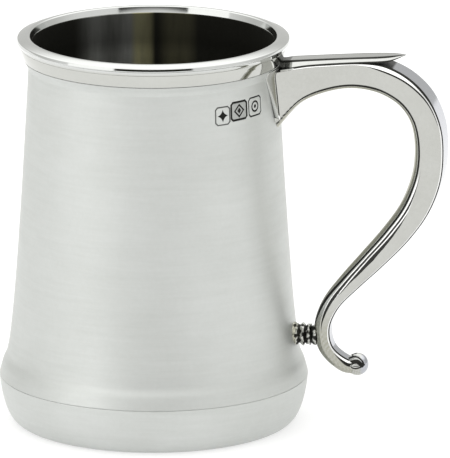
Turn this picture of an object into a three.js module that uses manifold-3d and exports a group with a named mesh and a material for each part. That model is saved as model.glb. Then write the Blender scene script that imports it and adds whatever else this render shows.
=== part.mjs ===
// Pewter tankard with a handle: a spun drum, a turned mouth ring and a domed base, soldered
// together round a flat floor, with a cast S-shaped handle on a shield plate and a beaded strut.
// Millimetres, +Z up, +X towards the handle. The origin is on the drum's axis, at the level
// the foot stands on.
import * as THREE from 'three';
import { mergeVertices } from 'three/addons/utils/BufferGeometryUtils.js';
import Module from 'manifold-3d';

const wasm = await Module();
wasm.setup();

// ---- driving dimensions ----
const HEIGHT = 120;            // foot to the crest of the rim
const RIM_RADIUS = 41.4;       // outer edge of the rim
const BELLY_RADIUS = 47.0;     // widest place, at the base seam
const BASE_SEAM_Z = 14.6;      // where the drum meets the domed base
const RIM_JOINT_Z = 112.9;     // where the drum meets the mouth ring
const RIM_JOINT_RADIUS = 39.4;
const RIM_INNER = 36.65;       // inside of the wall at the rim joint
const MOUTH_RADIUS = 36.95;    // inside of the lip, at the foot of its bevel
const COLLAR_Z = 110;          // neck of the drum, just under its flared top edge
const COLLAR_NECK = 37.9;
const WALL = 1.3;              // sheet thickness of the drum and base
const FOOT_OUTER = 40.3;       // flat annulus that the tankard stands on
const FOOT_INNER = 37.5;
const FLOOR_BOTTOM = 0.8;      // the floor disc is recessed this far above the table
const FLOOR_TOP = 2.6;
const GAP = 0.3;               // clearance between separately made pieces
const PLATE = 1.3;             // thickness of the shield plate under the handle root
const ROUND = 60;              // segments round the axis

// ---- materials ----
const pewter = (color, roughness = 0.3) =>
  new THREE.MeshStandardMaterial({ color, roughness, metalness: 1 });
const sheet = pewter(0xc9cbc8);
const polished = pewter(0xd4d6d4, 0.15);
const casting = pewter(0xc2c3be, 0.25);
const solder = pewter(0xaeb0ad, 0.4);

const object = new THREE.Group();

function addMesh(name, geometry, material) {
  const mesh = new THREE.Mesh(geometry, material);
  mesh.name = name;
  object.add(mesh);
  return mesh;
}

// ---- solids ----
function toSolid(geometry) {
  const bare = geometry.clone();
  bare.deleteAttribute('normal');
  bare.deleteAttribute('uv');
  const merged = mergeVertices(bare, 1e-4);
  return new wasm.Manifold(new wasm.Mesh({
    numProp: 3,
    vertProperties: new Float32Array(merged.attributes.position.array),
    triVerts: new Uint32Array(merged.index.array),
  }));
}

function toGeometry(solid) {
  const mesh = solid.getMesh();
  const geometry = new THREE.BufferGeometry();
  geometry.setAttribute('position', new THREE.BufferAttribute(mesh.vertProperties, 3));
  geometry.setIndex(new THREE.BufferAttribute(mesh.triVerts, 1));
  geometry.computeVertexNormals();
  return geometry;
}

// A solid through a row of rings, each a list of [x, y, z] with the same number of points.
function lofted(rings) {
  const perRing = rings[0].length;
  const end = (rings.length - 1) * perRing;
  const faces = [];
  for (let start = 0; start < end; start += perRing) {
    for (let j = 0; j < perRing; j += 1) {
      const a = start + j;
      const b = start + ((j + 1) % perRing);
      faces.push(a, b, a + perRing, b, b + perRing, a + perRing);
    }
  }
  for (let j = 1; j < perRing - 1; j += 1) {
    faces.push(0, j + 1, j, end, end + j, end + j + 1);
  }
  const geometry = new THREE.BufferGeometry();
  geometry.setAttribute('position', new THREE.Float32BufferAttribute(rings.flat(2), 3));
  geometry.setIndex(faces);
  return toSolid(geometry);
}

// ---- turned pieces: outlines are [radius, height] pairs, turned about +Z ----
const outline = (pairs) => pairs.map(([r, z]) => new THREE.Vector2(r, z));

function turned(points) {
  const geometry = new THREE.LatheGeometry(points, ROUND);
  geometry.rotateX(Math.PI / 2);      // the lathe's own axis is +Y
  return geometry;
}

// A ring's outline goes up its outside and comes back down its inside, and closes on itself.
function turnedRing(outside, inside) {
  const points = [...outside, ...[...inside].reverse()];
  return turned([...points, points[0].clone()]);
}

// The drum tapers upwards in a slow hollow curve, and flares out to the base at its foot.
const drumCurve = new THREE.SplineCurve(outline([
  [BELLY_RADIUS, BASE_SEAM_Z], [45.95, 18.3], [44.65, 21.6], [43.55, 28.5],
  [42.05, 44], [40.2, 70], [38.5, 98.5], [COLLAR_NECK, COLLAR_Z],
]));
const drumOutside = [
  ...drumCurve.getPoints(11),
  ...outline([[38.45, 111.3], [RIM_JOINT_RADIUS, RIM_JOINT_Z]]),
];
const inset = (points, t) => points.map((p) => new THREE.Vector2(p.x - t, p.y));
// Inside, the wall runs straight up past the collar, so the rim is flush with it.
const drumInside = [
  ...inset(drumCurve.getPoints(11), WALL),
  ...outline([[COLLAR_NECK - WALL, 111.3], [RIM_INNER, RIM_JOINT_Z]]),
];

// The base is a quarter of a squarish oval between the seam and the foot. Its inside is the
// same curve one wall thickness in, and ends at the floor disc.
const DOME_REACH_POWER = 0.82;
const DOME_DROP_POWER = 1.32;
const DOME_STEPS = 8;
function baseDome(thickness, lowest) {
  const foot = FOOT_OUTER - thickness;
  const belly = BELLY_RADIUS - thickness;
  const points = [];
  for (let i = DOME_STEPS; i >= 0; i -= 1) {
    const a = (i / DOME_STEPS) * (Math.PI / 2);
    points.push(new THREE.Vector2(
      foot + (belly - foot) * Math.cos(a) ** DOME_REACH_POWER,
      BASE_SEAM_Z - (BASE_SEAM_Z - lowest) * Math.sin(a) ** DOME_DROP_POWER,
    ));
  }
  return points;
}
const baseOutside = [...outline([[FOOT_INNER, 0]]), ...baseDome(0, 0)];
const baseInside = [
  ...outline([[FOOT_INNER, FLOOR_BOTTOM], [FOOT_INNER, FLOOR_TOP]]),
  ...baseDome(WALL, FLOOR_TOP),
];

// The mouth ring: a flared skirt with one turned line, a thin lip, and a rounded crest.
const rimOutside = outline([
  [RIM_JOINT_RADIUS, RIM_JOINT_Z], [40.05, 115], [40.45, 116.7], [40.95, 117.9],
  [RIM_RADIUS, 118.4], [RIM_RADIUS, 118.85], [40.9, 119.15], [39.7, 119.6],
  [38.6, HEIGHT - 0.05], [38.1, HEIGHT],
]);
const rimInside = outline([
  [RIM_INNER, RIM_JOINT_Z], [36.85, 117.6], [MOUTH_RADIUS, 118.0], [37.35, 119.6],
]);

addMesh('body_wall', turnedRing(drumOutside, drumInside), sheet);
addMesh('base_bowl', turnedRing(baseOutside, baseInside), sheet);
addMesh('rim_ring', turnedRing(rimOutside, rimInside), polished);
addMesh('floor_disc', turned(outline([
  [0, FLOOR_BOTTOM], [FOOT_INNER, FLOOR_BOTTOM], [FOOT_INNER, FLOOR_TOP], [0, FLOOR_TOP],
])), sheet);

// Solder runs round the inside: a fillet in the corner between the drum and the base, and a
// low bead over the flush joint round the floor disc.
const last = (list, back = 1) => list[list.length - back];
addMesh('solder_base_seam', turnedRing(
  [last(baseInside, 2), drumInside[0], drumInside[1]],
  outline([[drumInside[0].x - 1, BASE_SEAM_Z]]),
), solder);
addMesh('solder_floor_seam', turnedRing(
  outline([[FOOT_INNER + 0.8, FLOOR_TOP], [FOOT_INNER + 0.4, FLOOR_TOP + 0.25]]),
  outline([[FOOT_INNER - 0.8, FLOOR_TOP], [FOOT_INNER - 0.4, FLOOR_TOP + 0.25]]),
), solder);

// The tankard's whole outside, grown by a clearance: what the handle's pieces are cut back to.
function envelope(grow) {
  const side = [...drumOutside, ...rimOutside.slice(1)];
  const grown = side.map((p) => new THREE.Vector2(p.x + grow, p.y));
  const top = HEIGHT + 5;
  return toSolid(turned([
    new THREE.Vector2(0, BASE_SEAM_Z), ...grown,
    new THREE.Vector2(last(grown).x, top), new THREE.Vector2(0, top),
  ]));
}

// ---- shield plate: a V on the drum under the handle's root, blunter near its tip ----
const SHIELD_TOP_Z = 112.4;
const SHIELD_TIP_Z = 94.6;
const SHIELD_HALF = 12.4;      // half its width at the top edge
const SHIELD_KNEE = [6.3, 98.2];  // half width and height where its sides turn in to the tip

function shieldBlank(grow) {
  const [kneeHalf, kneeZ] = SHIELD_KNEE;
  const shape = new THREE.Shape(outline([
    [-SHIELD_HALF - 1.5 * grow, SHIELD_TOP_Z + grow], [-kneeHalf - grow, kneeZ - grow],
    [0, SHIELD_TIP_Z - 2 * grow],
    [kneeHalf + grow, kneeZ - grow], [SHIELD_HALF + 1.5 * grow, SHIELD_TOP_Z + grow],
  ]));
  const blank = new THREE.ExtrudeGeometry(shape, { depth: 30, bevelEnabled: false });
  blank.rotateX(Math.PI / 2).rotateZ(Math.PI / 2).translate(25, 0, 0);
  return toSolid(blank);
}

const shield = shieldBlank(0).intersect(envelope(GAP + PLATE)).subtract(envelope(GAP));
addMesh('handle_shield', toGeometry(shield), casting);
const shieldSeat = shieldBlank(GAP).intersect(envelope(2 * GAP + PLATE));

// ---- handle: a casting of changing section between an inner and an outer curve ----
// It leaves the shield plate, arches over the fingers, sweeps down and in to the strut, and
// curls out again to the ball at its tail.
// Each station: inner edge [x, z], outer edge [x, z], half width, inner rounding, back chamfer.
const STATIONS = [
  [[36.0, 90.5], [35.0, 110.7], 5.6, 1.8, 0.6],
  [[41.2, 96.1], [39.5, 111.7], 5.6, 1.6, 0.5],
  [[46.6, 101.7], [47.5, 113.2], 5.6, 1.45, 0.4],
  [[54.0, 105.0], [55.5, 114.0], 5.6, 1.4, 0.3],
  [[61.5, 106.4], [64.0, 114.6], 5.6, 1.4, 0.3],
  [[69.0, 105.4], [72.2, 114.0], 5.6, 1.45, 1.3],
  [[75.0, 102.3], [79.6, 110.3], 5.6, 1.55, 1.15],
  [[78.6, 97.8], [85.4, 104.2], 5.6, 1.7, 0.5],
  [[80.1, 92.5], [88.9, 96.0], 5.6, 2.0, 0.4],
  [[80.3, 85.8], [89.7, 87.0], 5.5, 2.4, 0.4],
  [[79.2, 79.0], [88.6, 77.8], 5.3, 2.9, 0.45],
  [[75.9, 70.6], [84.9, 68.4], 5.0, 3.5, 0.5],
  [[70.6, 62.8], [78.8, 59.7], 4.7, 4.0, 0.4],
  [[64.2, 55.0], [71.4, 51.8], 4.3, 4.1, 0.4],
  [[57.7, 47.2], [63.6, 44.2], 3.9, 3.6, 0.4],
  [[52.6, 40.2], [57.9, 38.2], 3.6, 3.0, 0.4],
  [[50.0, 33.6], [55.1, 32.8], 3.4, 2.6, 0.5],
  [[49.8, 28.2], [54.7, 28.6], 3.3, 2.4, 0.55],
  [[51.0, 23.8], [55.7, 25.2], 3.1, 2.2, 0.65],
  [[53.9, 20.1], [57.8, 23.0], 3.05, 2.0, 0.8],
  [[58.0, 17.2], [60.6, 21.4], 3.1, 2.0, 0.9],
  [[61.4, 16.6], [62.2, 21.4], 3.1, 2.0, 0.9],
];
const BALL_CENTRE = [62.8, 0, 19.5];
const BALL_RADIUS = 3.45;
const HANDLE_STEPS = 2 * (STATIONS.length - 1);
const ROUNDING_STEPS = 4;

// Half a section from the inner edge to the back, as [distance from the inner edge, half width].
function halfSection(depth, half, rounding, chamfer) {
  const flat = 0.15 * half;
  const points = [];
  for (let i = 0; i <= ROUNDING_STEPS; i += 1) {
    const a = (i / ROUNDING_STEPS) * (Math.PI / 2);
    points.push([rounding * (1 - Math.cos(a)), flat + (half - flat) * Math.sin(a)]);
  }
  points.push([depth - chamfer, half], [depth, half - chamfer]);
  return points;
}

function handleBlank(grow) {
  const curve = (at) => new THREE.SplineCurve(STATIONS.map(at));
  const innerCurve = curve((s) => new THREE.Vector2(...s[0]));
  const outerCurve = curve((s) => new THREE.Vector2(...s[1]));
  const widths = curve((s) => new THREE.Vector2(s[2], s[3]));
  const chamfers = curve((s) => new THREE.Vector2(s[4], 0));
  const rings = [];
  for (let i = 0; i <= HANDLE_STEPS; i += 1) {
    const u = i / HANDLE_STEPS;
    const inner = innerCurve.getPoint(u);
    const across = outerCurve.getPoint(u).sub(inner);
    const depth = across.length() + 2 * grow;
    across.normalize();
    inner.addScaledVector(across, -grow);
    const size = widths.getPoint(u);
    const half = halfSection(depth, size.x + grow, size.y + grow, chamfers.getPoint(u).x);
    const whole = [...half, ...half.map(([s, y]) => [s, -y]).reverse()];
    rings.push(whole.map(([s, y]) => [inner.x + across.x * s, y, inner.y + across.y * s]));
  }
  return lofted(rings);
}

const ballGeometry = new THREE.SphereGeometry(BALL_RADIUS, 20, 12);
ballGeometry.translate(...BALL_CENTRE);
const handleClear = envelope(GAP).add(shieldSeat);
const handle = handleBlank(0).add(toSolid(ballGeometry)).subtract(handleClear);
addMesh('handle', toGeometry(handle), casting);

// ---- strut: three beads on a turned neck between the drum and the handle's waist ----
const STRUT_Z = 28.2;
const STRUT_START = 42.6;      // inside the drum, then cut back to its surface
const STRUT_END = 52.5;        // inside the handle, then cut back to its edge
const COLLAR_RADIUS = 3.7;
const BEAD_RADIUS = 3.3;
const NECK_RADIUS = 2.7;
const BEAD_PITCH = 1.8;
const FIRST_BEAD_X = 45.3;
const strutProfile = [
  [0, STRUT_START], [COLLAR_RADIUS, STRUT_START], [COLLAR_RADIUS, 44.9], [NECK_RADIUS, FIRST_BEAD_X],
];
for (let bead = 0; bead < 3; bead += 1) {
  for (let i = 1; i <= 4; i += 1) {
    const swell = Math.sin((i / 4) * Math.PI) ** 0.7;
    strutProfile.push([
      NECK_RADIUS + (BEAD_RADIUS - NECK_RADIUS) * swell,
      FIRST_BEAD_X + BEAD_PITCH * (bead + i / 4),
    ]);
  }
}
strutProfile.push([NECK_RADIUS, STRUT_END], [0, STRUT_END]);
const strutBlank = new THREE.LatheGeometry(outline(strutProfile), 20);
strutBlank.rotateZ(-Math.PI / 2).translate(0, 0, STRUT_Z);
const strut = toSolid(strutBlank).subtract(envelope(GAP)).subtract(handleBlank(GAP));
addMesh('strut', toGeometry(strut), casting);

// ---- thumb plate: a flat-topped bar with wide bevels along the handle's top ----
// Its end narrows to a point in plan, and is cut back underneath.
// Each section: x, bottom z, top z, half width at the bottom, half width of the flat top.
const THUMB_SECTIONS = [
  [37.0, 111.5, 114.0, 5.4, 2.9], [40.0, 112.1, 114.2, 5.4, 2.9], [48.0, 113.5, 114.85, 5.4, 2.9],
  [57.0, 114.35, 115.6, 5.4, 2.9], [65.0, 114.9, 116.2, 5.3, 2.9], [69.5, 115.05, 116.5, 4.6, 2.7],
  [72.8, 115.25, 116.7, 3.5, 2.1], [75.2, 115.95, 116.8, 2.1, 1.3], [77.4, 116.75, 116.85, 0.25, 0.15],
];
const thumbRings = THUMB_SECTIONS.map(([x, low, high, foot, flat]) => (
  [[x, foot, low], [x, foot, low + 0.05], [x, flat, high],
    [x, -flat, high], [x, -foot, low + 0.05], [x, -foot, low]]));
const thumb = lofted(thumbRings).subtract(handleClear);
addMesh('thumb_plate', toGeometry(thumb), casting);

export default object;
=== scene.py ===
"""Pewter tankard: fine meshes, procedural pewter and a plain studio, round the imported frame."""

import math
from functools import lru_cache

import bpy
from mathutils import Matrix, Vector


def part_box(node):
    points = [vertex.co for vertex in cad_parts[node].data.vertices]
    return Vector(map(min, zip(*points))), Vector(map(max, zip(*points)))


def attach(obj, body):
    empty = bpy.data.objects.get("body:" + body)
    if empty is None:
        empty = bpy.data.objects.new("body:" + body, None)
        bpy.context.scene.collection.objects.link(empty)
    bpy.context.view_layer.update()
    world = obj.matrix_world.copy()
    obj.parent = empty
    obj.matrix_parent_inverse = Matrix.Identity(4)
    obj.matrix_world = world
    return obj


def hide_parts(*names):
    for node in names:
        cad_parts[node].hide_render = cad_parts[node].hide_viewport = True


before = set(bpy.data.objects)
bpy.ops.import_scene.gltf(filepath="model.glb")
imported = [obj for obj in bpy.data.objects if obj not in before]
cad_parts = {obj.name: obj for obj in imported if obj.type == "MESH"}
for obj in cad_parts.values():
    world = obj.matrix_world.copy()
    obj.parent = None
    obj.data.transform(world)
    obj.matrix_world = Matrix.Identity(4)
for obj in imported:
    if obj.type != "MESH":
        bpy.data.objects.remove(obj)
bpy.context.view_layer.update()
MM = 0.001


# ---------------------------------------------------------------- sizes, in mm, from the frame

def node_low(node):
    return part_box(node)[0] / MM


def node_high(node):
    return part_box(node)[1] / MM


HEIGHT = node_high("rim_ring").z
RIM_RADIUS = -node_low("rim_ring").x
RIM_JOINT_Z = node_low("rim_ring").z
BELLY_RADIUS = -node_low("base_bowl").x
BASE_SEAM_Z = node_high("base_bowl").z
FOOT_INNER = -node_low("floor_disc").x
FLOOR_BOTTOM = node_low("floor_disc").z
FLOOR_TOP = node_high("floor_disc").z
SHIELD_TIP_Z = node_low("handle_shield").z
SHIELD_TOP_Z = node_high("handle_shield").z
SHIELD_HALF = node_high("handle_shield").y
STRUT_Z = (node_low("strut").z + node_high("strut").z) / 2

# sizes that no node's box gives
WALL = 1.3                     # sheet thickness of the drum and base
RIM_JOINT_RADIUS = 39.4
COLLAR_NECK = 37.9             # the drum's narrowest place, under its flared top edge
COLLAR_Z = 110.0
COLLAR_TOP = 111.3             # where the flare turns outwards
MOUTH_RADIUS = 36.95           # inside of the lip, at the foot of its bevel
RIM_INNER = 36.65              # inside of the wall at the rim joint
FOOT_OUTER = 40.3
EMBED = 0.5                    # how deep a soldered-on piece starts under the surface

ROUND = 256                    # segments round the tankard's axis
INSIDE_PAINTED_SHADE = 0.66             # painted shade inside, darkest just below the lip


# ---------------------------------------------------------------- curves

def blend_at(keys, u):
    """The Catmull-Rom curve through a list of tuples, at u from 0 to len(keys) - 1."""
    i = min(int(u), len(keys) - 2)
    t = u - i
    p0, p1 = keys[max(i - 1, 0)], keys[i]
    p2, p3 = keys[i + 1], keys[min(i + 2, len(keys) - 1)]
    return tuple(
        0.5 * (2 * b + (c - a) * t + (2 * a - 5 * b + 4 * c - d) * t * t
               + (3 * b - a - 3 * c + d) * t ** 3)
        for a, b, c, d in zip(p0, p1, p2, p3))


def curve(keys, steps):
    """Points along the curve through keys, with steps to each span."""
    count = (len(keys) - 1) * steps
    return [blend_at(keys, i / steps) for i in range(count + 1)]


def fillet(before, corner, after, radius, steps=3):
    """Points that cut a corner of an outline with a small round."""
    a, p, b = Vector(before), Vector(corner), Vector(after)
    reach = min(radius, (a - p).length * 0.48, (b - p).length * 0.48)
    start = p + (a - p).normalized() * reach
    end = p + (b - p).normalized() * reach
    ts = [k / steps for k in range(steps + 1)]
    return [tuple(start * (1 - t) ** 2 + p * 2 * t * (1 - t) + end * t * t) for t in ts]


def softened(points, radius, steps=3):
    """An open outline with every inner corner rounded."""
    found = [points[0]]
    for before, corner, after in zip(points, points[1:], points[2:]):
        found += fillet(before, corner, after, radius, steps)
    return found + [points[-1]]


def smooth_step(x, low, high):
    """0 up to low, 1 from high on, and a smooth rise between them."""
    t = min(1.0, max(0.0, (x - low) / (high - low)))
    return t * t * (3 - 2 * t)


def band(x, low, high, edge=0.07):
    """1 between low and high, falling to 0 within an edge either side. 0 if it has no width."""
    if high - low < 0.06:
        return 0.0
    return smooth_step(x, low - edge, low + edge) * (1 - smooth_step(x, high - edge, high + edge))


def linear_at(keys, u):
    """The rest of a key tuple, found linearly between the two keys that u lies between."""
    for low, high in zip(keys, keys[1:]):
        if u <= high[0]:
            t = max(0.0, (u - low[0]) / (high[0] - low[0]))
            return [a + (b - a) * t for a, b in zip(low[1:], high[1:])]
    return list(keys[-1][1:])


def sine(degrees):
    return math.sin(math.radians(degrees))


def cosine(degrees):
    return math.cos(math.radians(degrees))


# ---------------------------------------------------------------- the turned outlines

DRUM_KEYS = [
    (BELLY_RADIUS, BASE_SEAM_Z), (45.95, 18.3), (44.65, 21.6), (43.55, 28.5),
    (42.05, 44.0), (40.2, 70.0), (38.5, 98.5), (COLLAR_NECK, COLLAR_Z),
]
DRUM_CURVE = curve(DRUM_KEYS, 60)
COLLAR = [(COLLAR_NECK, COLLAR_Z), (38.45, COLLAR_TOP), (RIM_JOINT_RADIUS, RIM_JOINT_Z)]
SKIRT = [(RIM_JOINT_RADIUS, RIM_JOINT_Z), (40.05, 115.0), (40.45, 116.7), (40.95, 117.9),
         (41.25, 118.2)]


def radius_on(points, z):
    """The radius of an outline that rises steadily, at height z."""
    for (r0, z0), (r1, z1) in zip(points, points[1:]):
        if z <= z1:
            return r0 + (r1 - r0) * (z - z0) / (z1 - z0)
    return points[-1][0]


def outside_radius(z):
    """The radius of the tankard's outside at height z, up to the lip."""
    if z <= COLLAR_Z:
        return radius_on(DRUM_CURVE, z)
    if z <= RIM_JOINT_Z:
        return radius_on(COLLAR, z)
    return radius_on(SKIRT, z)


# ---------------------------------------------------------------- mesh building

def make_object(name, vertices, faces):
    """A piece from vertices in mm, smooth all over."""
    mesh = bpy.data.meshes.new(name)
    mesh.from_pydata([(x * MM, y * MM, z * MM) for x, y, z in vertices], [], faces)
    mesh.update()
    mesh.shade_smooth()
    piece = bpy.data.objects.new(name, mesh)
    bpy.context.scene.collection.objects.link(piece)
    return piece


def apply_modifier(piece, kind, **settings):
    """Add a modifier with its settings, and make its result the piece's own mesh."""
    modifier = piece.modifiers.new(kind.lower(), kind)
    for key, value in settings.items():
        setattr(modifier, key, value)
    bpy.context.view_layer.objects.active = piece
    bpy.ops.object.modifier_apply(modifier=modifier.name)


def finish_shading(piece, sharp_degrees=32):
    """Sharp edges where faces meet at more than an angle, and normals led by the larger faces."""
    bpy.context.view_layer.objects.active = piece
    piece.select_set(True)
    bpy.ops.object.shade_smooth_by_angle(angle=math.radians(sharp_degrees))
    piece.select_set(False)
    apply_modifier(piece, "WEIGHTED_NORMAL", keep_sharp=True, weight=50)


def paint(piece, name, values):
    """A number on every vertex, for a material to read."""
    attribute = piece.data.attributes.new(name, "FLOAT", "POINT")
    attribute.data.foreach_set("value", values)


def paint_loft(piece, name, values, ends=(0.0, 0.0)):
    """A number on every vertex of a lofted piece, whose last two are the middles of its ends."""
    paint(piece, name, [*values, *ends])


def line_inside(piece, first):
    """Put a piece's second material on its faces from the first one given on."""
    for polygon in piece.data.polygons[first:]:
        polygon.material_index = 1


def turned_mesh(outline, angles, offset=None):
    """An outline of (radius, height) turned about +Z: up the outside, down the inside.

    offset gives what to add to the radius at a place.
    """
    vertices, rings = [], []
    for r, z in outline:
        start = len(vertices)
        if r < 1e-6:
            vertices.append((0, 0, z))
            rings.append([start])
            continue
        for a in angles:
            reach = r + (offset(a, r, z) if offset else 0)
            vertices.append((reach * math.cos(a), reach * math.sin(a), z))
        rings.append(range(start, len(vertices)))
    pairs = list(zip(rings, rings[1:]))
    if len(rings[0]) > 1:
        pairs.append((rings[-1], rings[0]))
    faces = []
    n = len(angles)
    for lower, upper in pairs:
        for i in range(n):
            j = (i + 1) % n
            if len(lower) == 1:
                faces.append((lower[0], upper[j], upper[i]))
            elif len(upper) == 1:
                faces.append((lower[i], lower[j], upper[0]))
            else:
                faces.append((lower[i], lower[j], upper[j], upper[i]))
    return vertices, faces


def even_angles(count):
    return [2 * math.pi * i / count for i in range(count)]


def turned(name, outline, count=ROUND):
    return make_object(name, *turned_mesh(outline, even_angles(count)))


def lofted(name, rings):
    """A solid through a row of rings of (x, y, z), closed by a fan at each end."""
    n = len(rings[0])
    vertices = [p for ring in rings for p in ring]
    faces = []
    for start in range(0, (len(rings) - 1) * n, n):
        for j in range(n):
            a, b = start + j, start + (j + 1) % n
            faces.append((a, a + n, b + n, b))
    for start, first in ((0, True), ((len(rings) - 1) * n, False)):
        ring = vertices[start:start + n]
        centre = len(vertices)
        vertices.append(tuple(sum(axis) / n for axis in zip(*ring)))
        for j in range(n):
            a, b = start + j, start + (j + 1) % n
            faces.append((a, b, centre) if first else (b, a, centre))
    return make_object(name, vertices, faces)


HALVINGS = 15                  # steps of the search for where a line comes out


def landed_rings(ring_at, last, free_row, root_rows, steps):
    """Rings from u = 0 to last, each long line starting just under the tankard's surface.

    The rings are spread out between there and free_row. After it each is at one u, with steps
    to each unit. The result is the rings, and the u of each of their points.
    """
    def depth(point):
        return math.hypot(point[0], point[1]) - (outside_radius(point[2]) - EMBED)

    count = len(ring_at(0.0))
    starts = []
    for j in range(count):
        low, high = 0.0, free_row
        for _ in range(HALVINGS):
            middle = (low + high) / 2
            if depth(ring_at(middle)[j]) > 0:
                high = middle
            else:
                low = middle
        starts.append(high)
    places = []
    for k in range(root_rows):
        t = k / root_rows
        places.append([start + (free_row - start) * t for start in starts])
    total = round((last - free_row) * steps)
    places += [[free_row + i / steps] * count for i in range(total + 1)]
    rings = []
    for row in places:
        if row[0] == row[-1]:
            rings.append(ring_at(row[0]))
        else:
            rings.append([ring_at(u)[j] for j, u in enumerate(row)])
    return rings, places


# ---------------------------------------------------------------- the three struck marks

# Each: kind, angle of its middle in degrees, height of its middle, half width, half height.
MARKS = [
    ("star", -46.9, 102.5, 2.85, 3.0),
    ("lozenge", -37.4, 103.2, 3.55, 3.1),
    ("ring", -26.7, 103.3, 3.3, 3.1),
]
MARK_DEPTH = 0.2
MARK_RADIUS = 38.3             # of the drum where the marks are
MARK_LOW_Z, MARK_HIGH_Z = 99.2, 106.7
MARK_FIRST_ANGLE, MARK_LAST_ANGLE = -51.8, -21.4


def symbol_of(kind, u, v):
    """About how far inside a mark's symbol a place is. u and v are mm across and up from its
    middle, and outside is negative."""
    if kind == "star":
        return (1.62 - abs(u) ** 0.62 - abs(v) ** 0.62) * 0.8
    if kind == "lozenge":
        inner = 0.5 - abs(u) * 0.6 - abs(v) * 0.5
        outer = 1.5 - abs(u) * 0.75 - abs(v) * 0.75
        return max(inner, 0.3 - abs(outer - 0.15))
    r = math.hypot(u, v)
    return max(0.6 - r, 0.32 - abs(r - 1.5))


def mark_at(angle, z):
    """How deep the struck marks are at a place on the drum, from 0 to 1."""
    degrees = math.degrees(angle)
    if degrees > 180:
        degrees -= 360
    if not (MARK_FIRST_ANGLE < degrees < MARK_LAST_ANGLE and MARK_LOW_Z < z < MARK_HIGH_Z):
        return 0.0
    deepest = 0.0
    for kind, middle, height, half_width, half_height in MARKS:
        u = math.radians(degrees - middle) * MARK_RADIUS
        v = z - height
        inside = min(half_width - abs(u), half_height - abs(v),
                     (half_width + half_height - 0.9 - abs(u) - abs(v)) * 0.7)
        thick = 0.62 if kind == "lozenge" else 0.46
        border = smooth_step(inside, 0.0, 0.12) * (1 - smooth_step(inside, thick, thick + 0.18))
        within = smooth_step(inside, thick, thick + 0.18)
        symbol = smooth_step(symbol_of(kind, u, v), -0.08, 0.12) * within
        field = within * (0.5 if kind == "lozenge" else 0.15)
        deepest = max(deepest, border * (0.75 if kind == "star" else 1.0), field, symbol)
    return deepest


# ---------------------------------------------------------------- the body

def drum_heights():
    """Close rows where the drum curves or carries a mark, and wide ones elsewhere."""
    def rows(low, high, pitch):
        count = max(1, round((high - low) / pitch))
        return [low + (high - low) * i / count for i in range(count)]

    return (rows(BASE_SEAM_Z + 0.2, 30, 0.7) + rows(30, MARK_LOW_Z, 2.2)
            + rows(MARK_LOW_Z, MARK_HIGH_Z, 0.12) + rows(MARK_HIGH_Z, COLLAR_Z - 0.4, 0.8))


def drum_angles():
    """Close columns through the marks, and even ones elsewhere."""
    even = [360 * i / ROUND for i in range(ROUND)]
    first, final = MARK_FIRST_ANGLE % 360, MARK_LAST_ANGLE % 360
    count = round((final - first) / 0.18)
    close = [first + (final - first) * i / count for i in range(count + 1)]
    spread = [a for a in even if a < first - 0.3 or a > final + 0.3]
    return [math.radians(a) for a in sorted(spread + close)]


def make_body_wall():
    outside = [(BELLY_RADIUS - 0.16, BASE_SEAM_Z), (BELLY_RADIUS - 0.04, BASE_SEAM_Z + 0.1)]
    outside += [(radius_on(DRUM_CURVE, z), z) for z in drum_heights()]
    neck = (COLLAR_NECK + 0.02, COLLAR_Z - 0.4)
    top = (RIM_JOINT_RADIUS - 0.04, RIM_JOINT_Z - 0.08)
    outside += softened([neck, COLLAR[0], COLLAR[1], top], 0.3)
    outside += [(RIM_JOINT_RADIUS - 0.16, RIM_JOINT_Z)]
    inside = [(r - WALL, z) for r, z in curve(DRUM_KEYS, 5)]
    inside += [(COLLAR_NECK - WALL, COLLAR_TOP), (RIM_INNER, RIM_JOINT_Z)]
    inside.reverse()
    angles = drum_angles()

    def recess(angle, r, z):
        on_outside = r > outside_radius(z) - WALL / 2
        return -MARK_DEPTH * mark_at(angle, z) if on_outside else 0

    piece = make_object("drum", *turned_mesh(outside + inside, angles, recess))
    dark = [mark_at(a, z) for r, z in outside for a in angles]
    # the inside darkens with painted shade towards the lip
    dark += [INSIDE_PAINTED_SHADE * smooth_step(z, 97, 111) for r, z in inside for _ in angles]
    paint(piece, "patina_and_shade", dark)
    line_inside(piece, (len(outside) - 1) * len(angles))
    finish_shading(piece, 60)
    return piece


DOME_REACH_POWER = 0.82
DOME_DROP_POWER = 1.32


def dome(thickness, lowest, steps):
    """A quarter of a squarish oval from the foot up to the base seam."""
    foot, belly = FOOT_OUTER - thickness, BELLY_RADIUS - thickness
    points = []
    for i in range(steps, -1, -1):
        a = i / steps * math.pi / 2
        points.append((foot + (belly - foot) * math.cos(a) ** DOME_REACH_POWER,
                       BASE_SEAM_Z - (BASE_SEAM_Z - lowest) * math.sin(a) ** DOME_DROP_POWER))
    return points


def make_base_bowl():
    outer = dome(0, 0, 36)
    outside = [(FOOT_INNER, 0.25), (FOOT_INNER + 0.2, 0.04), (FOOT_INNER + 0.5, 0)] + outer[:-2]
    outside += [(BELLY_RADIUS - 0.02, BASE_SEAM_Z - 0.3), (BELLY_RADIUS - 0.03, BASE_SEAM_Z - 0.12),
                (BELLY_RADIUS - 0.16, BASE_SEAM_Z)]
    inside = [(FOOT_INNER, FLOOR_BOTTOM), (FOOT_INNER, FLOOR_TOP)] + dome(WALL, FLOOR_TOP, 14)
    piece = turned("domed_base", outside + inside[::-1])
    line_inside(piece, (len(outside) - 1) * ROUND)
    finish_shading(piece, 50)
    return piece


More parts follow.
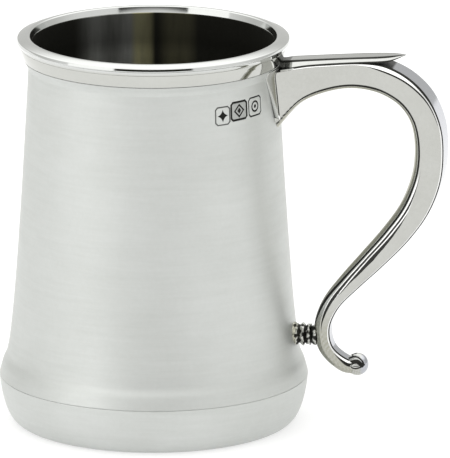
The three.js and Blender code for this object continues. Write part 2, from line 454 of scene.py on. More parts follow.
def make_rim_ring():
    joint = [(RIM_JOINT_RADIUS - 0.2, RIM_JOINT_Z), (RIM_JOINT_RADIUS + 0.02, RIM_JOINT_Z + 0.15)]
    skirt = [(40.05, 115.0), (40.42, 116.62), (40.36, 116.78), (40.52, 116.95), (40.95, 117.9),
             (41.22, 118.15)]
    lip = [(41.38, 118.3), (RIM_RADIUS, 118.42), (41.24, 119.17), (41.1, 119.32), (40.7, 119.46)]
    cone = [(39.7, 119.74), (38.75, 119.95), (38.2, HEIGHT), (37.7, 119.93), (37.42, 119.7)]
    bevel = [(37.06, 118.15), (MOUTH_RADIUS, 118.0)]
    inside = [(36.88, 117.7), (36.75, 115.3), (RIM_INNER, RIM_JOINT_Z)]
    outside = joint + curve(skirt, 3) + softened(lip, 0.1) + curve(cone, 4) + bevel
    columns = 2 * ROUND
    piece = turned("mouth_ring", outside + inside, columns)
    line_inside(piece, (len(outside) - 1) * columns)
    tone = [0.3 * (1 - smooth_step(z, 116.9, 117.7)) for r, z in outside] + [0.0] * len(inside)
    paint(piece, "tone", [shade for shade in tone for _ in range(columns)])
    # painted shade all down the inside of the ring
    dull = [0.0] * len(outside) + [INSIDE_PAINTED_SHADE] * len(inside)
    paint(piece, "patina_and_shade", [shade for shade in dull for _ in range(columns)])
    finish_shading(piece, 60)
    return piece


def make_floor_disc():
    rings = 24
    eased = 0.05                    # how much its edges are broken
    bottom = [(FOOT_INNER * i / rings, FLOOR_BOTTOM) for i in range(rings)]
    bottom.append((FOOT_INNER - eased, FLOOR_BOTTOM))
    side = [(FOOT_INNER, FLOOR_BOTTOM + eased), (FOOT_INNER, FLOOR_TOP - eased)]
    top = [(r, FLOOR_TOP) for r, z in bottom[::-1]]
    piece = turned("floor_plate", bottom + side + top)
    finish_shading(piece, 60)
    return piece


def make_base_seam():
    wall = BELLY_RADIUS - WALL
    points = [
        (wall - 0.15, BASE_SEAM_Z - 2.0), (wall, BASE_SEAM_Z),
        (wall - 0.45, BASE_SEAM_Z + 1.5), (wall - 0.75, BASE_SEAM_Z + 0.8),
        (wall - 0.95, BASE_SEAM_Z), (wall - 0.7, BASE_SEAM_Z - 1.0),
    ]
    return turned("base_solder", points)


def make_floor_seam():
    points = [(FOOT_INNER + 0.8, FLOOR_TOP), (FOOT_INNER + 0.6, FLOOR_TOP + 0.16),
              (FOOT_INNER + 0.25, FLOOR_TOP + 0.25), (FOOT_INNER - 0.25, FLOOR_TOP + 0.25),
              (FOOT_INNER - 0.6, FLOOR_TOP + 0.16), (FOOT_INNER - 0.8, FLOOR_TOP)]
    return turned("floor_solder", points)


# ---------------------------------------------------------------- the handle and its pieces

# Stations from the root to the tail: inner edge x and z, outer edge x and z, half width, inner
# rounding, back chamfer. Below, u is a place between them, counted in stations.
HANDLE_KEYS = [
    (36.6, 90.0, 35.0, 110.7, 5.6, 7.0, 0.6),
    (41.2, 96.1, 39.5, 111.7, 5.6, 2.6, 0.5),
    (46.6, 101.7, 47.5, 113.2, 5.6, 1.45, 0.4),
    (54.0, 105.0, 55.5, 114.0, 5.6, 1.4, 0.3),
    (61.5, 106.4, 64.0, 114.6, 5.6, 1.4, 0.3),
    (69.0, 105.4, 72.2, 114.0, 5.6, 1.45, 1.3),
    (75.0, 102.3, 79.6, 110.3, 5.6, 1.55, 1.15),
    (78.6, 97.8, 85.4, 104.2, 5.6, 1.7, 0.75),
    (80.1, 92.5, 88.9, 96.0, 5.6, 2.0, 0.62),
    (80.3, 85.8, 89.7, 87.0, 5.5, 2.4, 0.62),
    (79.2, 79.0, 88.6, 77.8, 5.3, 2.9, 0.62),
    (75.9, 70.6, 84.9, 68.4, 5.0, 3.6, 0.62),
    (70.6, 62.8, 78.8, 59.7, 4.7, 4.15, 0.6),
    (64.2, 55.0, 71.4, 51.8, 4.3, 4.3, 0.58),
    (57.7, 47.2, 63.6, 44.2, 3.9, 3.7, 0.55),
    (52.6, 40.2, 57.9, 38.2, 3.6, 3.1, 0.55),
    (50.0, 33.6, 55.1, 32.8, 3.4, 2.6, 0.6),
    (49.8, 28.2, 54.7, 28.6, 3.3, 2.4, 0.65),
    (51.0, 23.8, 55.7, 25.2, 3.1, 2.2, 0.72),
    (53.9, 20.1, 57.8, 23.0, 3.05, 2.0, 0.8),
    (58.0, 17.2, 60.6, 21.4, 3.1, 2.0, 0.9),
    (61.4, 16.6, 62.2, 21.4, 3.1, 2.0, 0.9),
]
ROUNDING_STEPS = 56
GROOVE = 0.07                  # how far a painted dark line is let into the surface

# Painted dark lines, standing in for dark reflections, along the handle's inner side: u, then
# the first and last distance from the inner edge of each of three lines.
LINE_KEYS = [
    (0.0, 1.45, 2.0, 2.9, 2.9, 3.6, 3.6),
    (6.0, 1.5, 2.05, 2.9, 2.9, 3.6, 3.6),
    (9.0, 1.65, 2.3, 2.9, 2.9, 3.6, 3.6),
    (10.0, 1.5, 2.15, 2.8, 2.95, 3.5, 3.5),
    (11.0, 1.3, 1.95, 2.55, 3.2, 3.5, 3.5),
    (12.0, 1.15, 1.75, 2.35, 3.0, 3.35, 4.15),
    (13.0, 1.05, 1.65, 2.15, 2.75, 3.05, 4.35),
    (14.0, 0.8, 1.5, 2.05, 2.8, 3.1, 3.6),
    (14.7, 0.5, 1.3, 2.0, 3.0, 3.2, 3.25),
    (15.6, 0.2, 0.95, 2.1, 2.8, 3.2, 3.2),
    (16.4, 0.05, 0.5, 2.4, 2.55, 3.0, 3.0),
    (17.0, 0.0, 0.4, 2.5, 2.5, 3.0, 3.0),
    (21.0, 0.0, 0.35, 2.5, 2.5, 3.0, 3.0),
]

# Along u: widths of the painted dark lines before the back chamfer and on its far part.
EDGE_LINE_KEYS = [
    (0.0, 0.0, 0.1), (4.2, 0.0, 0.1), (4.8, 0.45, 0.55), (5.2, 0.5, 0.8), (6.6, 0.5, 0.9),
    (7.4, 0.25, 0.6), (8.0, 0.06, 0.5), (16.0, 0.06, 0.5), (18.6, 0.06, 0.55), (19.3, 0.5, 0.6),
    (20.0, 0.95, 0.6), (21.0, 1.15, 0.5),
]


def mottle(x, z):
    """An uneven value from -1 to 1."""
    return math.sin(5.3 * x + 2.1 * z) * math.sin(4.7 * z - 2.9 * x + 1.0)


def handle_half_section(depth, half, rounding, chamfer, u):
    """Half a section, from the middle of the inner side round to the middle of the back.

    Each row is a place, (distance from the inner edge, half width), and three shades there:
    painted dark lines, tone (stain and painted shade above 0, painted highlight below it) and
    a painted cool reflection.
    """
    lines = linear_at(LINE_KEYS, u)
    before_chamfer, on_chamfer = linear_at(EDGE_LINE_KEYS, u)
    flat = 0.15 * half
    moulded = smooth_step(u, 9.3, 10.3) * (1 - smooth_step(u, 14.8, 16.0))
    waist = smooth_step(u, 14.6, 17.0)

    def shaded(s, y):
        # painted dark lines, standing in for dark reflections
        dark = max(band(s, *lines[i:i + 2]) for i in (0, 2, 4))
        # an olive painted reflection along the inner edge, and a mottled stain on the tail
        stain_and_shade = 0.9 * (1 - smooth_step(s, lines[0] - 0.3, lines[0])) * (1 - waist)
        stain_and_shade += 0.18 + waist * (0.5 + 0.3 * mottle(7 * u, s))
        # painted highlights on the moulded part
        painted_highlight = 1.25 * moulded * smooth_step(s, lines[1], lines[1] + 0.15)
        painted_highlight *= 1 - smooth_step(s, rounding - 0.35, rounding)
        return (s + 0.04 * dark, y - GROOVE * dark), (dark, stain_and_shade - painted_highlight, 0.0)

    # the rounded inner side
    rows = [shaded(0.0, 0.0)]
    for i in range(ROUNDING_STEPS + 1):
        a = i / ROUNDING_STEPS * math.pi / 2
        rows.append(shaded(rounding * (1 - math.cos(a)), flat + (half - flat) * math.sin(a)))

    # the flat side, with a painted dark line before the chamfer where there is one
    room = depth - chamfer - before_chamfer - 0.2 - rounding
    for k in range(1, 8):
        rows.append(shaded(rounding + min(0.11 * k, room * k / 8), half))
    shoulder = depth - chamfer
    plain, dark = shaded(shoulder, half)[1], (1.0, 0.0, 0.0)
    line_shade = dark if before_chamfer > 0.1 else plain
    rows += [((shoulder - before_chamfer - 0.1, half), plain),
             ((shoulder - before_chamfer, half - 0.04), line_shade),
             ((shoulder - 0.04, half - 0.04), line_shade)]

    # the chamfer, with a painted highlight and then a painted dark line
    bright = (0.0, -0.7, 0.0)
    slope = Vector((1, -1)).normalized()
    length = chamfer * math.sqrt(2)
    line_start = length - on_chamfer
    for along, shade in ((0, bright), (line_start, bright), (line_start + 0.07, dark),
                         (length - 0.02, dark)):
        rows.append((tuple(Vector((shoulder, half)) + slope * max(0.0, along)), shade))

    # the back, painted with a cool reflected tint
    edge = half - chamfer
    cool_reflection = (0.0, 0.0, 1.0)
    rows += [((depth, edge - 0.08), cool_reflection), ((depth, 0.5 * edge), cool_reflection), ((depth, 0.0), cool_reflection)]
    return rows


@lru_cache(maxsize=None)
def handle_rows(u):
    """The places and shades all round the handle at u."""
    ix, iz, ox, oz, half, rounding, chamfer = blend_at(HANDLE_KEYS, u)
    inner, across = Vector((ix, iz)), Vector((ox - ix, oz - iz))
    depth = across.length
    across.normalize()
    side = handle_half_section(depth, half, rounding, chamfer, u)
    whole = side + [((s, -y), shade) for (s, y), shade in side[-2:0:-1]]
    return [((inner.x + across.x * s, y, inner.y + across.y * s), shade) for (s, y), shade in whole]


def handle_ring(u):
    return [place for place, shade in handle_rows(u)]


BALL_CENTRE = (62.8, 0.0, 19.5)
BALL_RADIUS = 3.45
SCROLL_DEPTH = 0.1

# The scroll on each side of the ball: lines of painted shade that curl into it, as (across, up)
# from its middle in the slanting view that shows its side and top, with each line's width.
SCROLL_LINES = [
    (1.35, [(-5.2, 0.3), (-4.0, -0.45), (-2.6, 0.05), (-1.1, 0.6), (0.1, 0.6), (1.35, -0.35)]),
    (0.55, [(-3.3, 0.9), (-2.4, 1.65), (-1.2, 2.1), (0.1, 2.05), (1.3, 1.15), (2.1, -0.1)]),
    (0.55, [(-3.4, 1.3), (-2.8, 2.3), (-1.8, 2.95), (-0.4, 3.25)]),
    (0.5, [(-1.5, 2.1), (-1.5, 2.9)]),
    (0.45, [(-2.2, -0.95), (-1.0, -1.4), (0.2, -1.2), (1.0, -0.9)]),
    (0.25, [(-1.4, -0.7), (-0.4, -0.75), (0.4, -0.6)]),
]
SCROLL_CURVES = [(width, curve(points, 4)) for width, points in SCROLL_LINES]


def distance_to(points, x, z):
    """How far a place is from the straight lines that join points."""
    nearest = 99.0
    for (x0, z0), (x1, z1) in zip(points, points[1:]):
        dx, dz = x1 - x0, z1 - z0
        t = ((x - x0) * dx + (z - z0) * dz) / (dx * dx + dz * dz)
        t = min(1.0, max(0.0, t))
        nearest = min(nearest, math.hypot(x - x0 - dx * t, z - z0 - dz * t))
    return nearest


def scroll_shade(x, y, z):
    """The painted shade of the scroll lines at a place measured from the ball's middle."""
    across, up = x - 0.17 * abs(y), 0.96 * z - 0.25 * abs(y)
    return max(1 - smooth_step(distance_to(points, across, up), width / 2 - 0.08, width / 2 + 0.08)
               for width, points in SCROLL_CURVES)


def make_ball():
    """A ball with its poles at the sides, where its lines are struck in a little."""
    rings, columns = 72, 120
    vertices, faces = [(0.0, -BALL_RADIUS, 0.0)], []
    for i in range(1, rings):
        turn = math.pi * i / rings
        for j in range(columns):
            a = 2 * math.pi * j / columns
            way = Vector((math.sin(turn) * math.cos(a), -math.cos(turn),
                          math.sin(turn) * math.sin(a)))
            sunk = SCROLL_DEPTH * scroll_shade(*(way * BALL_RADIUS))
            vertices.append(tuple(way * (BALL_RADIUS - sunk)))
    vertices.append((0.0, BALL_RADIUS, 0.0))
    end = len(vertices) - 1
    for j in range(columns):
        k = (j + 1) % columns
        faces.append((0, 1 + k, 1 + j))
        faces.append((end, end - columns + j, end - columns + k))
        for i in range(rings - 2):
            low, high = 1 + i * columns, 1 + (i + 1) * columns
            faces.append((low + j, low + k, high + k, high + j))
    cx, cy, cz = BALL_CENTRE
    return make_object("ball_blank", [(x + cx, y + cy, z + cz) for x, y, z in vertices], faces)


def make_handle():
    rings, places = landed_rings(handle_ring, len(HANDLE_KEYS) - 1, 2.0, 8, 6)
    piece = lofted("scroll_handle", rings)
    patina_and_shade, tone, cool_reflection = [], [], []
    for ring, row in zip(rings, places):
        for j, ((x, y, z), u) in enumerate(zip(ring, row)):
            dark, stain_and_shade, cool_reflection_amount = handle_rows(u)[j][1]
            if u > 3 and cool_reflection_amount > 0.5:
                # the back, painted with shade only under the thumb plate
                dark = smooth_step(z, 111.5, 112.5) * (1 - smooth_step(x, 73.6, 74.8))
            patina_and_shade.append(dark)
            tone.append(stain_and_shade)
            cool_reflection.append(cool_reflection_amount)
    paint_loft(piece, "patina_and_shade", patina_and_shade)
    paint_loft(piece, "tone", tone)
    paint_loft(piece, "cool_reflection", cool_reflection)
    ball = make_ball()
    apply_modifier(piece, "BOOLEAN", object=ball, operation="UNION", solver="EXACT")
    bpy.data.objects.remove(ball)
    shade_ball(piece)
    finish_shading(piece)
    return piece


def shade_ball(piece):
    """The ball's shades on its part of the joined mesh, its scroll lines' painted shade among them.
    """
    centre = Vector(BALL_CENTRE)
    dark, tone, cool_reflection = (piece.data.attributes[name].data for name in ("patina_and_shade", "tone", "cool_reflection"))
    slack = 0.02
    for i, vertex in enumerate(piece.data.vertices):
        place = vertex.co / MM - centre
        if BALL_RADIUS - SCROLL_DEPTH - slack < place.length < BALL_RADIUS + slack:
            # the scroll lines' painted shade
            dark[i].value = scroll_shade(*place)
            tone[i].value = 0.35 + 0.35 * mottle(place.x, place.z) if place.z < -0.5 else 0.0
            # a painted cool reflection on its outer side
            cool_reflection[i].value = smooth_step(place.x, 0.8, 2.2)


# x, bottom z, top z, half width at the bottom, half width of the flat top. The root is joined
# by straight lines, and the rest by a curve.
THUMB_ROOT = [
    (36.5, 110.9, 113.8, 3.3, 2.0), (40.6, 111.5, 114.1, 3.5, 2.2), (42.8, 112.1, 114.4, 5.4, 2.9),
]
THUMB_KEYS = [
    (42.8, 112.1, 114.4, 5.4, 2.9), (48.0, 113.2, 114.85, 5.4, 2.9),
    (57.0, 114.25, 115.6, 5.4, 2.9), (65.0, 114.9, 116.2, 5.25, 2.9),
    (69.5, 115.05, 116.5, 4.6, 2.65), (72.8, 115.3, 116.72, 3.5, 2.1),
    (75.2, 116.0, 116.85, 2.1, 1.3), (77.4, 116.78, 116.88, 0.25, 0.15),
]

# Painted shade on each point of half a section: its bottom, a line along the foot and the top
# of its slope, a clean slope between them, and a line along the edge of its clean flat top.
THUMB_SHADES = [1.0, 1.0, 1.0, 1.0, 0.0, 0.0, 1.0, 1.0, 1.0, 0.0, 0.0]


def thumb_section(x, low, high, foot, flat):
    """The plate's outline at x, with two points close together wherever a line has an edge."""
    under, top = Vector((foot, low)), Vector((flat, high))
    slope = top - under
    along = slope.normalized()
    line = min(0.7, 0.27 * slope.length)
    line_end = line + 0.08
    rim = min(0.4, 0.2 * flat)
    side = [(0.0, low), (foot - min(0.1, foot * 0.3), low), under, under + along * line,
            under + along * line_end, top - along * line_end, top - along * line, top,
            (flat - rim, high), (flat - rim * 1.6, high), (0.0, high)]
    whole = [tuple(point) for point in side]
    whole += [(-y, z) for y, z in whole[-2:0:-1]]
    return [(x, -y, z) for y, z in whole]


def thumb_ring(u):
    root = len(THUMB_ROOT) - 1
    if u < root:
        i = int(u)
        t = u - i
        mixed = [a + (b - a) * t for a, b in zip(THUMB_ROOT[i], THUMB_ROOT[i + 1])]
        return thumb_section(*mixed)
    return thumb_section(*blend_at(THUMB_KEYS, u - root))


def make_thumb_plate():
    last = len(THUMB_ROOT) + len(THUMB_KEYS) - 2
    rings, _ = landed_rings(thumb_ring, last, 1.0, 3, 6)
    piece = lofted("thumb_rest", rings)
    shades = THUMB_SHADES + THUMB_SHADES[-2:0:-1]
    dark = []
    for ring in rings:
        # painted shade where the plate meets the rim
        near_rim = 1 - smooth_step(ring[0][0], 42.3, 43.0)
        dark += [max(shade, 0.72 * near_rim) for shade in shades]
    paint_loft(piece, "patina_and_shade", dark, ends=(0.0, 1.0))
    finish_shading(piece, 28)
    return piece


# How the shield plate's half width, the height of its edge and its height beside the handle
# change from its tip (0) to its top (1).
SHIELD_KEYS = [
    (0.0, 2.6, 1.1, 1.2), (0.05, 4.9, 1.4, 1.5), (0.12, 6.0, 1.4, 1.6), (0.5, 8.6, 0.8, 1.3),
    (0.8, 10.9, 0.4, 1.0), (1.0, SHIELD_HALF, 0.25, 0.8),
]
SHIELD_LOWEST = SHIELD_TIP_Z + 0.7   # the handle's root hides its end
SHIELD_SUNK = 0.3                    # how far its back is under the drum's surface
HANDLE_HALF = 5.6                    # half the width of the handle's root


def shield_shade(z, from_edge, from_handle, upper):
    """Painted shade and highlights: dark lines by handle, rim and edge, darker hollows between."""
    by_handle = upper * (1 - smooth_step(from_handle, 0.3, 0.5))
    by_rim = smooth_step(z, 110.6, 111.6) * (1 - smooth_step(from_handle, 1.4, 2.6))
    by_edge = upper * band(from_edge, 0.75, 1.0, 0.1)
    stain_and_shade = 0.9 * (1 - smooth_step(from_handle, 1.0, 3.6))
    painted_highlight = max(band(from_handle, 0.45, 0.85, 0.1), 1 - smooth_step(from_edge, 0.5, 0.8))
    dark = max(by_handle, 0.9 * by_rim, 0.55 * by_edge)
    return dark, stain_and_shade * (1 - painted_highlight) - 0.7 * painted_highlight


def make_shield():
    """A V on the drum whose hollow sides sweep up to the handle's root."""
    rows, columns = 44, 72
    rings, dark, tone = [], [], []
    for i in range(rows + 1):
        t = (i / rows) ** 1.4
        z = SHIELD_LOWEST + (SHIELD_TOP_Z - SHIELD_LOWEST) * t
        half, edge, rise = linear_at(SHIELD_KEYS, t)
        upper = smooth_step(t, 0.1, 0.18)
        drum = outside_radius(z)
        front, behind, shades = [], [], []
        for j in range(columns + 1):
            s = 2 * j / columns - 1
            y = half * math.copysign(abs(s) ** 0.85, s)
            from_edge, from_handle = half - abs(y), abs(y) - HANDLE_HALF
            reach = min(1.0, from_edge / max(0.5, half - HANDLE_HALF))
            r = drum + edge + (rise - edge) * reach ** 1.6
            way = math.cos(y / drum), math.sin(y / drum)
            front.append((r * way[0], r * way[1], z))
            behind.append(((drum - SHIELD_SUNK) * way[0], (drum - SHIELD_SUNK) * way[1], z))
            shades.append(shield_shade(z, from_edge, from_handle, upper))
        rings.append(front + behind[::-1])
        dark += [shade[0] for shade in shades] + [1.0] * len(behind)
        tone += [shade[1] for shade in shades] + [0.0] * len(behind)
    piece = lofted("shield_plate", rings)
    paint_loft(piece, "patina_and_shade", dark)
    paint_loft(piece, "tone", tone)
    finish_shading(piece, 50)
    return piece


# Along the strut: x and radius of its collar, and of four uneven beads.
STRUT_KEYS = [
    (42.7, 3.6), (43.7, 3.55), (44.5, 3.3), (45.0, 2.8), (45.5, 3.1), (46.0, 3.45), (46.6, 3.4),
    (46.95, 2.65), (47.3, 2.9), (47.9, 3.3), (48.5, 3.25), (48.85, 2.6), (49.2, 2.85), (49.8, 3.2),
    (50.4, 3.1), (50.8, 2.5), (52.4, 2.5),
]


def make_strut():
    """Cast beads on a neck: each bead is lobed, and turned a little from the one before."""
    columns = 96
    rings, dark, tone = [], [], []
    for x, radius in curve(STRUT_KEYS, 4):
        lobed = smooth_step(x, 43.2, 44.2)
        swell = smooth_step(radius, 2.5, 3.3)
        twist = 0.9 * math.sin(1.7 * x) + 0.5 * x
        ring = []
        for j in range(columns):
            a = 2 * math.pi * j / columns
            wave = 0.6 * math.cos(7 * a + twist * 2) + 0.4 * math.cos(4 * a - twist * 3 + 1)
            r = radius + 0.3 * lobed * (0.3 + 0.7 * swell) * (wave - 0.5)
            ring.append((x, r * math.cos(a), STRUT_Z + r * math.sin(a)))
        rings.append(ring[::-1])
    for ring in rings:
        for x, y, z in ring:
            a = math.atan2(z - STRUT_Z, y)
            deep = 1 - smooth_step(math.hypot(y, z - STRUT_Z), 2.8, 3.25)
            pitted = smooth_step(math.sin(3.1 * x + 5 * a) + math.sin(7 * a - 2.3 * x), 0.5, 1.0)
            dark.append(max(deep, 0.95 * pitted) * smooth_step(x, 43.0, 43.5))
            tone.append(0.7 * (1 - smooth_step(x, 44.0, 44.8)) + 0.25)
    piece = lofted("beaded_strut", rings)
    paint_loft(piece, "patina_and_shade", dark)
    paint_loft(piece, "tone", tone)
    finish_shading(piece, 50)
    return piece


# ---------------------------------------------------------------- materials

class Graph:
    """Short calls for adding and joining shader nodes."""

    def __init__(self, tree):
        self.tree = tree
        tree.nodes.clear()

    def node(self, kind, settings=None, **inputs):
        made = self.tree.nodes.new(kind)
        for key, value in (settings or {}).items():
            setattr(made, key, value)
        for key, value in inputs.items():
            self.feed(made.inputs[key.replace("_", " ")], value)
        return made

    def feed(self, socket, value):
        if isinstance(value, bpy.types.NodeSocket):
            self.tree.links.new(value, socket)
        else:
            socket.default_value = value

    def math(self, operation, a, b=0.0):
        made = self.tree.nodes.new("ShaderNodeMath")
        made.operation = operation
        self.feed(made.inputs[0], a)
        self.feed(made.inputs[1], b)
        return made.outputs[0]

    def remap(self, value, low, high, to_low, to_high, smooth=False):
        kind = "SMOOTHSTEP" if smooth else "LINEAR"
        made = self.node("ShaderNodeMapRange", {"interpolation_type": kind}, Value=value,
                         From_Min=low, From_Max=high, To_Min=to_low, To_Max=to_high)
        return made.outputs["Result"]

    def mix(self, factor, a, b):
        """One colour over another. A Mix node's colours are its sockets 6 and 7, and output 2."""
        made = self.node("ShaderNodeMix", {"data_type": "RGBA"})
        for socket, value in ((0, factor), (6, a), (7, b)):
            self.feed(made.inputs[socket], value)
        return made.outputs[2]

    def facing(self, vector, turn):
        """The cosine between a place's bearing about +Z and a given bearing."""
        parts = self.node("ShaderNodeSeparateXYZ", Vector=vector)
        flat = self.node("ShaderNodeCombineXYZ", X=parts.outputs["X"], Y=parts.outputs["Y"])
        level = self.node("ShaderNodeVectorMath", {"operation": "NORMALIZE"})
        self.feed(level.inputs[0], flat.outputs[0])
        product = self.node("ShaderNodeVectorMath", {"operation": "DOT_PRODUCT"})
        self.feed(product.inputs[0], level.outputs[0])
        product.inputs[1].default_value = (math.cos(turn), math.sin(turn), 0)
        return product.outputs["Value"]

    def noise(self, vector, scale, detail=3.0, roughness=0.55):
        made = self.node("ShaderNodeTexNoise", Vector=vector, Scale=scale, Detail=detail,
                         Roughness=roughness)
        return made.outputs["Fac"]


# What the painted numbers turn pewter into: tone above 0 (stain and painted shade) and below it
# (painted highlight), a painted cool reflection, and patina and painted shade.
STAIN_AND_PAINTED_SHADE = (0.34, 0.335, 0.275, 1)
PAINTED_HIGHLIGHT = (0.94, 0.94, 0.93, 1)
PAINTED_COOL_REFLECTION = (0.46, 0.47, 0.505, 1)
PATINA_AND_PAINTED_SHADE = (0.012, 0.012, 0.010, 1)


def pewter(name, colour, tarnish, shine, grain, lines, stretch=(1, 1, 1), painted_reflections=()):
    """Pewter, from its clean and its slightly tarnished colour.

    shine is its roughness at best and worst, and grain and lines are the heights of its cast
    pits and its polishing lines, in mm. stretch sets how the lines run. The last argument lists
    upright bands of painted reflection: bearing and half width in degrees, and colour.
    """
    material = bpy.data.materials.new(name)
    material.use_nodes = True
    g = Graph(material.node_tree)
    place = g.node("ShaderNodeTexCoord").outputs["Object"]
    along = g.node("ShaderNodeMapping", Vector=place, Scale=stretch).outputs["Vector"]
    cloud = g.noise(place, 38.0, 4.0)
    speckle = g.noise(place, 900.0, 3.0, 0.6)
    streak = g.noise(along, 60.0, 5.0, 0.65)
    fine = g.noise(along, 700.0, 3.0, 0.6)
    patina_and_shade_amount, tone, cool_reflection = (g.node("ShaderNodeAttribute", {"attribute_name": painted}).outputs["Fac"]
                        for painted in ("patina_and_shade", "tone", "cool_reflection"))

    shade = g.math("ADD", g.remap(cloud, 0.3, 0.7, -0.5, 0.5), g.remap(streak, 0.3, 0.7, -0.3, 0.3))
    shade = g.math("ADD", shade, g.remap(speckle, 0.3, 0.7, -0.25, 0.25))
    plain = g.mix(g.remap(shade, -1.0, 1.0, 0.0, 1.0), (*colour, 1), (*tarnish, 1))
    # upright bands of painted reflection round the inside
    for bearing, half, reflection_colour in painted_reflections:
        facing = g.facing(place, math.radians(bearing))
        near = g.remap(facing, cosine(half * 2.6), cosine(half * 0.2), 0.0, 1.0, smooth=True)
        patchy = g.math("MULTIPLY", near, g.remap(streak, 0.36, 0.64, 0.35, 1.0))
        plain = g.mix(patchy, plain, (*reflection_colour, 1))
    # tone above 0: stain and painted shade
    plain = g.mix(g.remap(tone, 0.0, 1.0, 0.0, 1.0), plain, STAIN_AND_PAINTED_SHADE)
    # tone below 0: painted highlight
    plain = g.mix(g.remap(tone, 0.0, -1.0, 0.0, 1.0), plain, PAINTED_HIGHLIGHT)
    # a painted cool reflection
    plain = g.mix(g.remap(cool_reflection, 0.0, 1.0, 0.0, 1.0), plain, PAINTED_COOL_REFLECTION)
    # patina in the struck marks, and painted shade and dark reflections elsewhere
    dull = g.remap(patina_and_shade_amount, 0.3, 0.9, 0.0, 0.97, smooth=True)
    colours = g.mix(dull, plain, PATINA_AND_PAINTED_SHADE)

    rough = g.remap(g.math("ADD", g.math("MULTIPLY", streak, 0.5), g.math("MULTIPLY", cloud, 0.5)),
                    0.35, 0.65, shine[0], shine[1])
    rough = g.math("ADD", rough, g.remap(patina_and_shade_amount, 0.3, 1.0, 0.0, 0.25))

    height = g.math("ADD", g.math("MULTIPLY", fine, lines * MM),
                    g.math("MULTIPLY", speckle, grain * MM))
    bump = g.node("ShaderNodeBump", Height=height, Distance=1.0, Strength=1.0)
    shader = g.node("ShaderNodeBsdfPrincipled", Base_Color=colours, Metallic=1.0, Roughness=rough,
                    Normal=bump.outputs["Normal"])
    g.node("ShaderNodeOutputMaterial", Surface=shader.outputs["BSDF"])
    material.diffuse_color = (*colour, 1)
    return material


ROUND_LINES = (1, 1, 14)
UPRIGHT_LINES = (1, 1, 0.12)
# upright painted reflections on the inside: bearing, half width and colour
INSIDE_PAINTED_REFLECTIONS = [
    (121, 8, (0.52, 0.53, 0.50)), (105, 2.4, (0.62, 0.59, 0.34)), (88, 4, (0.22, 0.21, 0.13)),
]


def make_materials():
    return {
        "satin": pewter("satin_pewter", (0.63, 0.645, 0.63), (0.57, 0.585, 0.565), (0.47, 0.56),
                        0.0008, 0.0006, ROUND_LINES),
        # the inside: near black, painted shade of the tankard's hollow over its tarnish
        "inside": pewter("tarnish_and_painted_shade_inside", (0.055, 0.055, 0.047), (0.022, 0.021, 0.015),
                         (0.5, 0.62), 0.0012, 0.0008, UPRIGHT_LINES, INSIDE_PAINTED_REFLECTIONS),
        "bright": pewter("bright_pewter", (0.64, 0.65, 0.64), (0.58, 0.59, 0.575), (0.06, 0.10),
                         0.0002, 0.0002, ROUND_LINES),
        "cast": pewter("cast_pewter", (0.58, 0.585, 0.57), (0.46, 0.465, 0.445), (0.08, 0.14),
                       0.0012, 0.0004),
        "solder": pewter("wiped_solder", (0.34, 0.34, 0.33), (0.22, 0.22, 0.21), (0.38, 0.5),
                         0.003, 0.0),
    }


def dress(piece, node, slot, *materials):
    """Ride on the frame, stand for a CAD node, and wear the materials. slot is not used."""
    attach(piece, "root")
    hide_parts(node)
    indices = [0] * len(piece.data.polygons)
    piece.data.polygons.foreach_get("material_index", indices)
    piece.data.materials.clear()
    for material in materials:
        piece.data.materials.append(material)
    piece.data.polygons.foreach_set("material_index", indices)


# ---------------------------------------------------------------- camera, floor and studio

ELEVATION = math.radians(14.59)
AZIMUTH = math.radians(10.0)
TOWARDS_CAMERA = Vector((math.sin(AZIMUTH) * math.cos(ELEVATION),
                         -math.cos(AZIMUTH) * math.cos(ELEVATION), math.sin(ELEVATION)))
CAMERA_RIGHT = Vector((math.cos(AZIMUTH), math.sin(AZIMUTH), 0))
CAMERA_UP = TOWARDS_CAMERA.cross(CAMERA_RIGHT)
CAMERA_DISTANCE = 3.408        # metres, from the middle of the tankard
LENS = 881.0                   # on a sensor 36 mm wide
AIM_RIGHT = 0.02169            # how far to the right of the middle it aims
AIM_DOWN = 0.00086
FLOOR_RADIUS = 8.0
FLOOR_GLOW = 0.55              # stands in for a lit table, and leaves almost no shadow


def add_camera():
    data = bpy.data.cameras.new("camera")
    data.sensor_width = 36
    data.lens = LENS
    data.clip_start = 0.1
    data.clip_end = 100
    camera = bpy.data.objects.new("camera", data)
    bpy.context.scene.collection.objects.link(camera)
    middle = Vector((0, 0, HEIGHT * MM / 2))
    camera.location = middle + TOWARDS_CAMERA * CAMERA_DISTANCE
    aim = middle + CAMERA_RIGHT * AIM_RIGHT - CAMERA_UP * AIM_DOWN
    camera.rotation_euler = (camera.location - aim).to_track_quat("Z", "Y").to_euler()
    bpy.context.scene.camera = camera


def add_floor():
    bpy.ops.mesh.primitive_circle_add(vertices=128, radius=FLOOR_RADIUS, fill_type="NGON")
    floor = bpy.context.object
    floor.name = "studio_floor"
    material = bpy.data.materials.new("pale_floor")
    material.use_nodes = True
    g = Graph(material.node_tree)
    place = g.node("ShaderNodeTexCoord").outputs["Object"]
    tone = g.mix(g.noise(place, 3.0), (0.47, 0.47, 0.47, 1), (0.50, 0.50, 0.50, 1))
    shader = g.node("ShaderNodeBsdfPrincipled", Base_Color=tone, Roughness=0.9,
                    Emission_Color=(1, 1, 1, 1), Emission_Strength=FLOOR_GLOW)
    g.node("ShaderNodeOutputMaterial", Surface=shader.outputs["BSDF"])
    floor.data.materials.append(material)


# Parts of the studio that differ from its plain walls. Each: the bearing of its middle from
# the camera's side, half its width, its lower and upper edges, all in degrees, and its colour.
PANELS = [
    ((-54.5, 21.5, -4, 48), (1.55, 1.55, 1.53, 1)),
    ((0, 33, 3, 16), (0.02, 0.02, 0.015, 1)),
]
CEILING = (1.65, 1.65, 1.63, 1)
FRONT_WALL = (1.0, 1.0, 0.99, 1)
BACK_WALL = (0.72, 0.72, 0.70, 1)


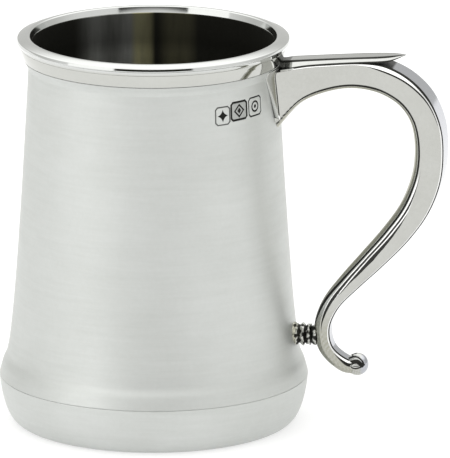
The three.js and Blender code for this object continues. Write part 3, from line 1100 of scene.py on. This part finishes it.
def add_world():
    world = bpy.data.worlds.new("studio")
    world.use_nodes = True
    bpy.context.scene.world = world
    g = Graph(world.node_tree)
    way = g.node("ShaderNodeTexCoord").outputs["Generated"]
    rise = g.node("ShaderNodeSeparateXYZ", Vector=way).outputs["Z"]
    front = AZIMUTH - math.pi / 2
    forward = g.remap(g.facing(way, front), -0.4, 0.4, 0.0, 1.0, smooth=True)
    wall = g.mix(forward, BACK_WALL, FRONT_WALL)
    starts = g.remap(forward, 0.0, 1.0, sine(18), sine(34))
    ends = g.remap(forward, 0.0, 1.0, sine(44), sine(62))
    upward = g.node("ShaderNodeMapRange", {"interpolation_type": "SMOOTHSTEP"}, Value=rise,
                    From_Min=starts, From_Max=ends)
    colour = g.mix(upward.outputs["Result"], wall, CEILING)
    for (bearing, half, low, high), panel in PANELS:
        wide = g.remap(g.facing(way, front + math.radians(bearing)), cosine(half + 1),
                       cosine(half - 1), 0, 1, smooth=True)
        above = g.remap(rise, sine(low - 1), sine(low + 1), 0, 1, smooth=True)
        below = g.remap(rise, sine(high - 1), sine(high + 1), 1, 0, smooth=True)
        cover = g.math("MULTIPLY", wide, g.math("MULTIPLY", above, below))
        colour = g.mix(cover, colour, panel)
    background = g.node("ShaderNodeBackground", Color=colour, Strength=1.0)
    g.node("ShaderNodeOutputWorld", Surface=background.outputs["Background"])


def set_colour_view():
    view = bpy.context.scene.view_settings
    view.view_transform = "Standard"
    view.look = "None"
    view.exposure = 0.0
    view.gamma = 1.0


# ---------------------------------------------------------------- the scene

add_camera()
add_floor()
add_world()
set_colour_view()
finish = make_materials()
dress(make_body_wall(), "body_wall", "sheet_pewter", finish["satin"], finish["inside"])
dress(make_base_bowl(), "base_bowl", "sheet_pewter", finish["satin"], finish["inside"])
dress(make_rim_ring(), "rim_ring", "polished_pewter", finish["bright"], finish["inside"])
dress(make_floor_disc(), "floor_disc", "sheet_pewter", finish["inside"])
dress(make_base_seam(), "solder_base_seam", "solder", finish["solder"])
dress(make_floor_seam(), "solder_floor_seam", "solder", finish["solder"])
dress(make_shield(), "handle_shield", "cast_pewter", finish["cast"])
dress(make_handle(), "handle", "cast_pewter", finish["cast"])
dress(make_strut(), "strut", "cast_pewter", finish["cast"])
dress(make_thumb_plate(), "thumb_plate", "cast_pewter", finish["cast"])
